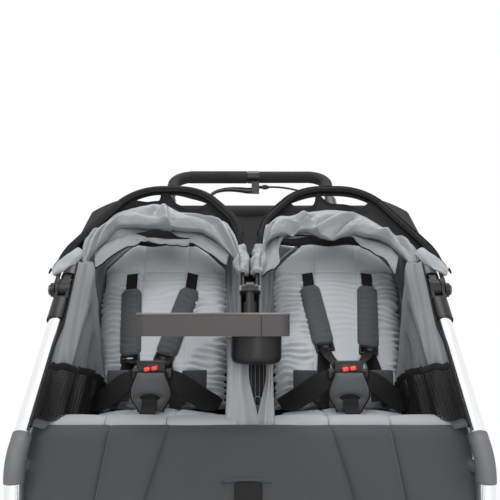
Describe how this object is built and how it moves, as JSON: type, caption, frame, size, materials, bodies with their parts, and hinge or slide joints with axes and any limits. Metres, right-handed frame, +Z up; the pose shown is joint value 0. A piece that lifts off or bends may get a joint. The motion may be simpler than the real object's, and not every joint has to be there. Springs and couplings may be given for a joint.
{
  "type": "jogging stroller",
  "caption": "Side-by-side double jogging stroller: folding tube frame on large spoked wheels, padded reclining seats with harnesses, folded-back canopies, tray and hand brake.",
  "frame": {"origin": "on the ground, below the middle of the stroller's box", "axes": "+Z up, +Y from the front wheel to the handlebar, +X across the seats"},
  "size_m": [0.824, 1.1698, 1.0543],
  "materials": {
    "silver_tube": "polished tube",
    "bright_steel": "bright steel",
    "black_plastic": "moulded black",
    "tray_plastic": "moulded dark grey",
    "red_plastic": "gloss red",
    "light_fabric": "light grey woven",
    "dark_fabric": "dark grey woven",
    "black_webbing": "black webbing",
    "black_mesh": "black net",
    "grip_foam": "foam",
    "cable_sheath": "cable sheath",
    "tyre_rubber": "rubber tyre"
  },
  "bodies": {
    "chassis": {"main_tube_left": "silver_tube", "main_tube_right": "silver_tube", "fork_ends": "black_plastic", "wheel_axles": "bright_steel", "axle_nuts": "bright_steel", "rear_leg_left": "silver_tube", "rear_leg_right": "silver_tube", "rear_beam": "silver_tube", "seat_frame": "silver_tube", "lower_frame": "silver_tube", "lower_hubs": "black_plastic", "fold_pins": "bright_steel", "centre_post": "black_plastic", "post_sleeve": "black_plastic", "tray_bracket": "black_plastic", "seat_cushion_left": "light_fabric", "seat_cushion_right": "light_fabric", "calf_panel": "dark_fabric", "footrest_panel": "black_webbing", "side_panels": "light_fabric", "mesh_pockets": "black_mesh", "centre_divider": "light_fabric", "cargo_basket": "black_webbing", "crotch_pads": "dark_fabric", "harness_buckles": "black_plastic", "hip_straps": "black_webbing", "caliper_bolt": "bright_steel", "brake_cable_lower": "cable_sheath"},
    "upper_frame": {"upper_tube": "silver_tube", "upper_hubs": "black_plastic", "crossbar_sleeves": "grip_foam", "handle_bar": "black_plastic", "handle_clamps": "black_plastic", "handle_grip": "grip_foam", "brake_perch": "black_plastic", "back_panel": "dark_fabric", "brake_cable_upper": "cable_sheath"},
    "canopy_left": {"canopy_bow_left": "black_plastic", "canopy_cover_left": "light_fabric"},
    "canopy_right": {"canopy_bow_right": "black_plastic", "canopy_cover_right": "light_fabric"},
    "seat_back_left": {"seat_back_left": "light_fabric", "shoulder_straps_left": "dark_fabric"},
    "seat_back_right": {"seat_back_right": "light_fabric", "shoulder_straps_right": "dark_fabric"},
    "brake_lever": {"brake_lever": "black_plastic"},
    "brake_arm_left": {"brake_arm_left": "bright_steel"},
    "brake_arm_right": {"brake_arm_right": "bright_steel"},
    "parking_brake": {"parking_brake": "black_plastic"},
    "tray": {"child_tray": "tray_plastic", "cup_holder": "black_plastic"},
    "buckle_button_left": {"buckle_button_left": "red_plastic"},
    "buckle_button_right": {"buckle_button_right": "red_plastic"},
    "front_wheel": {"front_tyre": "tyre_rubber", "front_rim": "bright_steel"},
    "rear_wheel_left": {"rear_tyre_left": "tyre_rubber", "rear_rim_left": "bright_steel"},
    "rear_wheel_right": {"rear_tyre_right": "tyre_rubber", "rear_rim_right": "bright_steel"}
  },
  "joints": [
    {"name": "frame_fold", "type": "hinge", "parent": "chassis", "child": "upper_frame", "pos_m": [0, 0.191, 0.728], "axis": [1, 0, 0], "range_deg": [0, 125]},
    {"name": "canopy_left_swing", "type": "hinge", "parent": "upper_frame", "child": "canopy_left", "pos_m": [0, 0.191, 0.728], "axis": [-1, 0, 0], "range_deg": [-95, 0], "deforming": ["canopy_cover_left"]},
    {"name": "canopy_right_swing", "type": "hinge", "parent": "upper_frame", "child": "canopy_right", "pos_m": [0, 0.191, 0.728], "axis": [-1, 0, 0], "range_deg": [-95, 0], "deforming": ["canopy_cover_right"]},
    {"name": "recline_left", "type": "hinge", "parent": "chassis", "child": "seat_back_left", "pos_m": [0, 0.262, 0.46], "axis": [-1, 0, 0], "range_deg": [0, 25]},
    {"name": "recline_right", "type": "hinge", "parent": "chassis", "child": "seat_back_right", "pos_m": [0, 0.262, 0.46], "axis": [-1, 0, 0], "range_deg": [0, 25]},
    {"name": "brake_lever_pull", "type": "hinge", "parent": "upper_frame", "child": "brake_lever", "pos_m": [0.014, 0.56887, 1.00438], "axis": [0, 1, 0], "range_deg": [0, 8], "stiffness_Nm_per_rad": 2, "springref_deg": -2.86},
    {"name": "brake_arm_left_close", "type": "hinge", "parent": "chassis", "child": "brake_arm_left", "pos_m": [0, -0.16, 0.24], "axis": [0, 0, 1], "range_deg": [0, 2]},
    {"name": "brake_arm_right_close", "type": "hinge", "parent": "chassis", "child": "brake_arm_right", "pos_m": [0, -0.16, 0.24], "axis": [0, 0, -1], "range_deg": [0, 2]},
    {"name": "parking_brake_press", "type": "hinge", "parent": "chassis", "child": "parking_brake", "pos_m": [0, 0.394, 0.24], "axis": [-1, 0, 0], "range_deg": [0, 20]},
    {"name": "tray_lift", "type": "slide", "parent": "chassis", "child": "tray", "axis": [0, 0, 1], "range_m": [0, 0.035]},
    {"name": "buckle_left_press", "type": "slide", "parent": "chassis", "child": "buckle_button_left", "axis": [0, 1, 0], "range_m": [0, 0.003], "stiffness_N_per_m": 300, "springref_m": -0.001},
    {"name": "buckle_right_press", "type": "slide", "parent": "chassis", "child": "buckle_button_right", "axis": [0, 1, 0], "range_m": [0, 0.003], "stiffness_N_per_m": 300, "springref_m": -0.001},
    {"name": "front_wheel_spin", "type": "hinge", "parent": "chassis", "child": "front_wheel", "pos_m": [0, -0.385, 0.2], "axis": [1, 0, 0], "continuous": true},
    {"name": "rear_wheel_left_spin", "type": "hinge", "parent": "chassis", "child": "rear_wheel_left", "pos_m": [-0.38, 0.347, 0.2], "axis": [1, 0, 0], "continuous": true},
    {"name": "rear_wheel_right_spin", "type": "hinge", "parent": "chassis", "child": "rear_wheel_right", "pos_m": [0.38, 0.347, 0.2], "axis": [1, 0, 0], "continuous": true}
  ],
  "couplings": [
    {"joint": "brake_arm_left_close", "follows": "brake_lever_pull", "ratio": 0.25},
    {"joint": "brake_arm_right_close", "follows": "brake_lever_pull", "ratio": 0.25}
  ]
}
